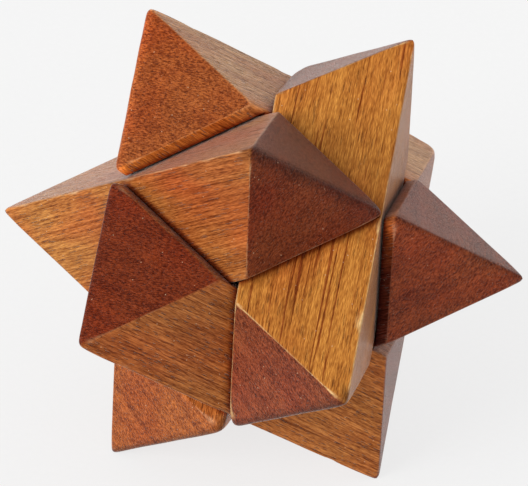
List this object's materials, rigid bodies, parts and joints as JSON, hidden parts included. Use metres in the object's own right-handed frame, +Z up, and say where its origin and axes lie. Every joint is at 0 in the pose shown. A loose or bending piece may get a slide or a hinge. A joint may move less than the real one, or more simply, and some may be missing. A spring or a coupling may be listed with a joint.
{
  "type": "diagonal burr puzzle",
  "caption": "Wooden interlocking burr puzzle of crossing square bars with wedge-cut ends that make a many-pointed star, held together by V notches and a sliding key bar.",
  "frame": {"origin": "on the surface the puzzle stands on, under its centre, in the middle of the three points it rests on", "axes": "+Z up along a three-fold axis of the star; the key bar draws out forwards (-Y) and upwards"},
  "size_m": [0.074, 0.0842, 0.0689],
  "materials": {
    "orange_brown_wood": "satin, open grain, waxed",
    "golden_brown_wood": "satin, open grain, waxed",
    "chestnut_wood": "satin, open grain, waxed",
    "reddish_brown_wood": "satin, open grain, waxed",
    "dark_brown_wood": "satin, open grain, waxed",
    "russet_wood": "satin, open grain, waxed"
  },
  "bodies": {
    "key_bar": {"key_bar": "orange_brown_wood"},
    "saddle_bar_upper": {"saddle_bar_upper": "golden_brown_wood"},
    "saddle_bar_lower": {"saddle_bar_lower": "chestnut_wood"},
    "side_bar_upper": {"side_bar_upper": "reddish_brown_wood"},
    "side_bar_lower": {"side_bar_lower": "dark_brown_wood"},
    "base_bar": {"base_bar": "russet_wood"}
  },
  "joints": [
    {"name": "key_slide", "type": "slide", "parent": "saddle_bar_lower", "child": "key_bar", "axis": [0.4082, -0.7071, 0.5774], "range_m": [-0.057, 0.062]},
    {"name": "spread", "type": "slide", "parent": "saddle_bar_lower", "child": "saddle_bar_upper", "axis": [0.4082, -0.7071, 0.5774], "range_m": [0, 0.032]},
    {"name": "side_bar_upper_spread", "type": "slide", "parent": "saddle_bar_lower", "child": "side_bar_upper", "axis": [0.5773, 0, 0.8165], "range_m": [0, 0.02263]},
    {"name": "side_bar_lower_spread", "type": "slide", "parent": "saddle_bar_lower", "child": "side_bar_lower", "axis": [0, -1, 0], "range_m": [0, 0.02263]},
    {"name": "base_bar_spread", "type": "slide", "parent": "saddle_bar_lower", "child": "base_bar", "axis": [0.866, -0.5, 0], "range_m": [0, 0.02263]}
  ],
  "couplings": [
    {"joint": "side_bar_upper_spread", "follows": "spread", "ratio": 0.70711},
    {"joint": "side_bar_lower_spread", "follows": "spread", "ratio": 0.70711},
    {"joint": "base_bar_spread", "follows": "spread", "ratio": 0.70711}
  ]
}
